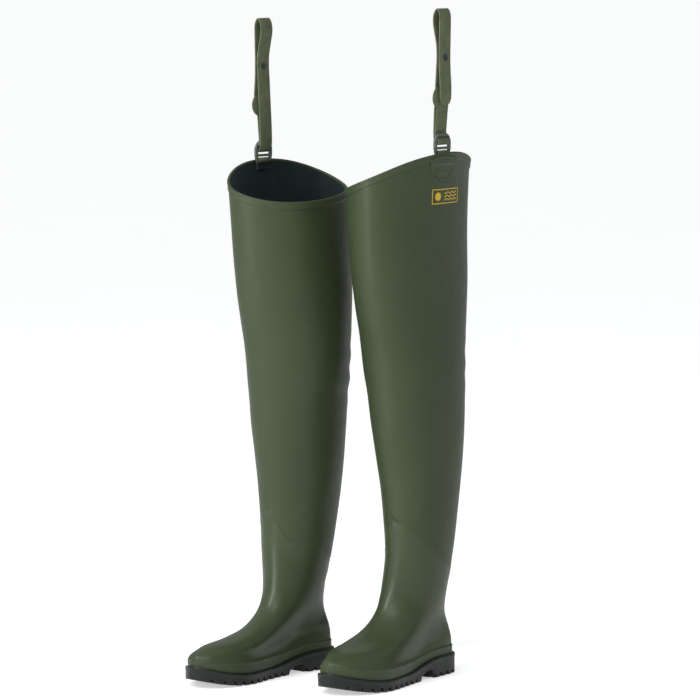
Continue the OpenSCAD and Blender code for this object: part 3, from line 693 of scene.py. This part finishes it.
def make_patch(surface, side):
    """Shield-shaped patch with a welded border, the webbing under it and its line of stitches."""
    peak = settle(np.array(float(RIM_PEAK)), side)
    rows, columns = 61, 61
    front, back = [], []
    for i in range(rows):
        k = 7 * i / (rows - 1)
        half = PATCH_COLS * math.sqrt(1 - (k / 7.05) ** 2)
        over = (HEM_T + GAP) * float(ease(3 - k))
        for j in range(columns):
            f = half * (2 * j / (columns - 1) - 1)
            z = peak - PATCH_DROP - PATCH_H * k / 7 - 3 * f * f * (1 - k / 7)
            inward = min((half - abs(f)) * COL_W, (7 - k) / 7 * PATCH_H, k / 7 * PATCH_H)
            border = 0.55 * math.exp(-((inward - 1.9) / 0.9) ** 2)
            rounded = 0.75 * min(1, inward / 0.9) ** 0.5 + 0.3
            across = abs(f) * COL_W
            on_web = float(ease((WEB_HALF - across) / 1.2))
            web_top, web_end = float(ease((k - 0.9) / 0.4)), 1 - float(ease((k - 5.2) / 0.35))
            webbing = 0.55 * on_web * web_top * web_end
            stitch = 0.45 * math.exp(-((k - 1.7) / 0.13) ** 2) * on_web
            front.append(surface.at(PATCH_COL + f, z, over + rounded + border + webbing - stitch))
            back.append(surface.at(PATCH_COL + f, z, over * 0.8 - 0.2))
    piece = make_piece(f"{side}_patch", placed(front + back, side), plate_faces(rows, columns),
                       MATERIALS["hem_pvc"], 60)
    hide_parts(f"{side}_anchor_patch")
    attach(piece, f"{side}_thigh")


def ribbon(path, width, closed):
    """A flat strip along a path on the label, as (points (a, b, d), faces)."""
    path = np.asarray(path, float)
    n = len(path)
    ahead = np.roll(path, -1, 0) if closed else np.vstack([path[1:], path[-1:]])
    behind = np.roll(path, 1, 0) if closed else np.vstack([path[:1], path[:-1]])
    tangent = ahead - behind
    tangent /= np.linalg.norm(tangent, axis=1)[:, None]
    sideways = np.stack([-tangent[:, 1], tangent[:, 0]], 1) * width / 2
    points = []
    for p, w in zip(path, sideways):
        points += [(*(p - w), -0.1), (*(p - w), 0.3), (*(p + w), 0.3), (*(p + w), -0.1)]
    faces = []
    for i in range(n if closed else n - 1):
        a, b = 4 * i, 4 * ((i + 1) % n)
        faces += [(a + k, a + (k + 1) % 4, b + (k + 1) % 4, b + k) for k in range(4)]
    if not closed:
        faces += [(0, 3, 2, 1), (4 * n - 4, 4 * n - 3, 4 * n - 2, 4 * n - 1)]
    return points, faces


def label_art():
    """A plain frame, three waves and a round dot: (path, width, closed) in mm on the label."""
    w, h = LABEL_W / 2 - 1, LABEL_H / 2 - 1
    frame_path = []
    for a0, b0, a1, b1 in ((-w, -h, w, -h), (w, -h, w, h), (w, h, -w, h), (-w, h, -w, -h)):
        frame_path += [(mix(a0, a1, k / 16), mix(b0, b1, k / 16)) for k in range(16)]
    art = [(frame_path, 1.3, True)]
    for row in range(3):
        a = np.linspace(-6, w - 5, 40)
        b = 5 - 5 * row + 1.2 * np.sin(a * 0.55 + row)
        art.append((list(zip(a, b)), 1.4, False))
    for radius in (1.2, 3.2, 5.2):
        turn = np.linspace(0, 2 * np.pi, 28, endpoint=False)
        art.append((list(zip(-w + 12 + radius * np.cos(turn), radius * np.sin(turn))), 2.1, True))
    return art


def make_label(surface, side):
    """The print on the thigh, as thin strips that follow the leg."""
    peak = settle(np.array(float(RIM_PEAK)), side)
    points, faces = [], []
    for path, width, closed in label_art():
        strip, strip_faces = ribbon(path, width, closed)
        faces += [tuple(k + len(points) for k in f) for f in strip_faces]
        points += [surface.at(PATCH_COL + (LABEL_BACK + a) / COL_W, peak - LABEL_DROP + b, d)
                   for a, b, d in strip]
    piece = make_piece(f"{side}_label_print", placed(points, side), faces,
                       MATERIALS["label_print"], 30)
    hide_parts(f"{side}_label")
    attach(piece, f"{side}_thigh")


# ---- Straps, buckles and studs ----
def make_strap(side):
    """Every strap piece is the CAD's own band with soft edges; the loop's tail is lining cloth."""
    rides = {"anchor_loop": "thigh", "strap_wrap": "buckle", "strap_loop": "strap",
             "strap_flap": "flap", "tail_paddle": "tail"}
    for node, body in rides.items():
        piece = refined(f"{side}_{node}", f"{side}_{node}_web", "strap_web", SOFT_EDGE)
        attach(piece, f"{side}_{body}")
    loop = bpy.data.objects[f"{side}_anchor_loop_web"]
    loop.data.materials.append(MATERIALS["lining_cloth"])
    pivot_z = joint(f"{side}_buckle_swing")["pos_m"][2]
    for face in loop.data.polygons:
        if face.center.z < pivot_z - 5 * MM:
            face.material_index = 1
    for node, a, b in (("strap_run", "buckle", "strap"), ("tail_run", "buckle", "tail")):
        piece = refined(f"{side}_{node}", f"{side}_{node}_web", "strap_web", SOFT_EDGE)
        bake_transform(piece)
    fold = refined(f"{side}_strap_fold", f"{side}_strap_fold_web", "strap_web", SOFT_EDGE)
    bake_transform(fold)


def make_buckle(side):
    """The ladder buckle, with its bars rounded as in a mould."""
    piece = refined(f"{side}_buckle", f"{side}_ladder_buckle", "buckle_plastic", BUCKLE_EDGE, 3)
    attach(piece, f"{side}_buckle")


def make_cap(side):
    """The press stud's cap: a rolled rim round a dished middle with a small eye."""
    low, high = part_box(f"{side}_snap_cap")
    centre = (low + high) / 2
    outward = 1 if side == "left" else -1
    face_x = high.x if side == "left" else low.x
    profile = [(1.1, -0.2), (1.3, 0.1), (1.8, 0.1), (2.4, -0.35), (3.2, -0.3), (4.0, 0.35),
               (4.7, 0.45), (5.1, 0.15), (5.2, -0.4), (4.9, -0.95), (4.0, -1.0)]
    turns = 48
    points = []
    for radius, rise in profile:
        for k in range(turns):
            angle = 2 * math.pi * k / turns
            points.append((face_x + outward * rise * MM, centre.y + radius * MM * math.cos(angle),
                           centre.z + radius * MM * math.sin(angle)))
    rows = len(profile)
    faces = [(i * turns + k, i * turns + (k + 1) % turns, (i + 1) * turns + (k + 1) % turns,
              (i + 1) * turns + k) for i in range(rows - 1) for k in range(turns)]
    faces += [tuple(range(turns)), tuple((rows - 1) * turns + k for k in reversed(range(turns)))]
    piece = make_piece(f"{side}_stud_cap", points, faces, MATERIALS["stud_metal"], 50)
    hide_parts(f"{side}_snap_cap")
    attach(piece, f"{side}_flap")


def dress_cad_nodes(side):
    """The CAD solids that stay as they are take the finished materials."""
    stays = {"insole": "lining_cloth", "shank": "shank_steel", "snap_socket": "stud_metal",
             "snap_stud": "stud_metal", "snap_post": "stud_metal"}
    for node, slot in stays.items():
        materials = frame["nodes"][f"{side}_{node}"].data.materials
        materials.clear()
        materials.append(MATERIALS[slot])


# ---- Studio ----
def make_camera():
    """Three quarters from the front and a little above, on a long lens from 7 m."""
    azimuth, elevation, distance = math.radians(40.14), math.radians(5.95), 7.0
    target = Vector((-0.04326, 0.09953, 0.48754))
    back = Vector((math.sin(azimuth) * math.cos(elevation), -math.cos(azimuth) * math.cos(elevation),
                   math.sin(elevation)))
    data = bpy.data.cameras.new("camera")
    data.sensor_width = 36
    data.lens = 236.23
    data.clip_end = 200
    camera = bpy.data.objects.new("camera", data)
    camera.location = target + back * distance
    camera.rotation_euler = back.to_track_quat("Z", "Y").to_euler()
    bpy.context.scene.collection.objects.link(camera)
    bpy.context.scene.camera = camera


def area_light(name, azimuth, elevation, distance, width, height, power, colour):
    """A soft box that faces the boots, at degrees round and up from the front."""
    a, e = math.radians(azimuth), math.radians(elevation)
    away = Vector((math.sin(a) * math.cos(e), -math.cos(a) * math.cos(e), math.sin(e)))
    data = bpy.data.lights.new(name, "AREA")
    data.shape = "RECTANGLE"
    data.size, data.size_y = width, height
    data.energy = power
    data.color = colour
    light = bpy.data.objects.new(name, data)
    light.location = Vector((0, 0, 0.5)) + away * distance
    light.rotation_euler = away.to_track_quat("Z", "Y").to_euler()
    bpy.context.scene.collection.objects.link(light)


def make_floor():
    """Pale paper, with its own glow turned down for reflections so the PVC's edges stay dark."""
    half, z = 60, -0.0004
    corners = [(-half, -half, z), (half, -half, z), (half, half, z), (-half, half, z)]
    mesh = bpy.data.meshes.new("floor")
    mesh.from_pydata(corners, [], [(0, 1, 2, 3)])
    floor = bpy.data.objects.new("floor", mesh)
    bpy.context.scene.collection.objects.link(floor)
    n = Nodes("floor_paper", Roughness=0.9, Specular_IOR_Level=0.1)
    n.set("Base Color", n.ramp(n.noise(3, 2), (0.93, 0.93, 0.93), (0.95, 0.95, 0.95)))
    n.shader.inputs["Emission Color"].default_value = (1, 1, 1, 1)
    direct = n.tree.nodes.new("ShaderNodeLightPath").outputs["Is Camera Ray"]
    n.set("Emission Strength", n.scaled(direct, 0.2, 0.5))
    mesh.materials.append(n.material)


def make_world():
    """A dim room, lighter above and darker behind to the right, with a white backdrop."""
    world = bpy.data.worlds.new("studio")
    bpy.context.scene.world = world
    world.use_nodes = True
    nodes, link = world.node_tree.nodes, world.node_tree.links.new
    direction = nodes.new("ShaderNodeTexCoord").outputs["Generated"]
    split = nodes.new("ShaderNodeSeparateXYZ")
    link(direction, split.inputs["Vector"])
    ramp = nodes.new("ShaderNodeValToRGB")
    dark, light = ramp.color_ramp.elements
    dark.position, dark.color = 0.05, (0.16, 0.17, 0.17, 1)
    light.position, light.color = 0.6, (0.66, 0.67, 0.68, 1)
    link(split.outputs["Z"], ramp.inputs["Fac"])
    room = nodes["Background"]
    link(ramp.outputs["Color"], room.inputs["Color"])
    toward = nodes.new("ShaderNodeVectorMath")
    toward.operation = "DOT_PRODUCT"
    toward.inputs[1].default_value = (0.76, 0.65, 0)
    link(direction, toward.inputs[0])
    falloff = nodes.new("ShaderNodeMapRange")
    falloff.inputs["From Min"].default_value = -1
    falloff.inputs["To Min"].default_value = 1.2
    falloff.inputs["To Max"].default_value = 0.45
    link(toward.outputs["Value"], falloff.inputs["Value"])
    link(falloff.outputs["Result"], room.inputs["Strength"])
    backdrop = nodes.new("ShaderNodeBackground")
    backdrop.inputs["Color"].default_value = (1, 1, 1, 1)
    backdrop.inputs["Strength"].default_value = 1.05
    either = nodes.new("ShaderNodeMixShader")
    link(nodes.new("ShaderNodeLightPath").outputs["Is Camera Ray"], either.inputs["Fac"])
    link(room.outputs["Background"], either.inputs[1])
    link(backdrop.outputs["Background"], either.inputs[2])
    link(either.outputs["Shader"], nodes["World Output"].inputs["Surface"])


def make_studio():
    make_floor()
    make_world()
    bpy.context.scene.view_settings.view_transform = "Standard"
    area_light("strip_left", -8, 22, 3.2, 0.6, 3.0, 78, (1, 1, 1))
    area_light("fill_right", 118, 16, 3.5, 0.5, 2.0, 2.6, (0.85, 0.95, 1.0))
    area_light("front", 38, 38, 3.5, 1.8, 1.8, 33, (1, 1, 1))


make_camera()
make_studio()
for each_side in SIDES:
    skin = Surface(each_side)
    make_boot(skin, each_side)
    make_leg(skin, each_side)
    make_lining(skin, each_side)
    make_foxing(each_side)
    make_hem(skin, each_side)
    make_patch(skin, each_side)
    make_label(skin, each_side)
    make_strap(each_side)
    make_buckle(each_side)
    make_cap(each_side)
    dress_cad_nodes(each_side)
    make_sole(each_side)
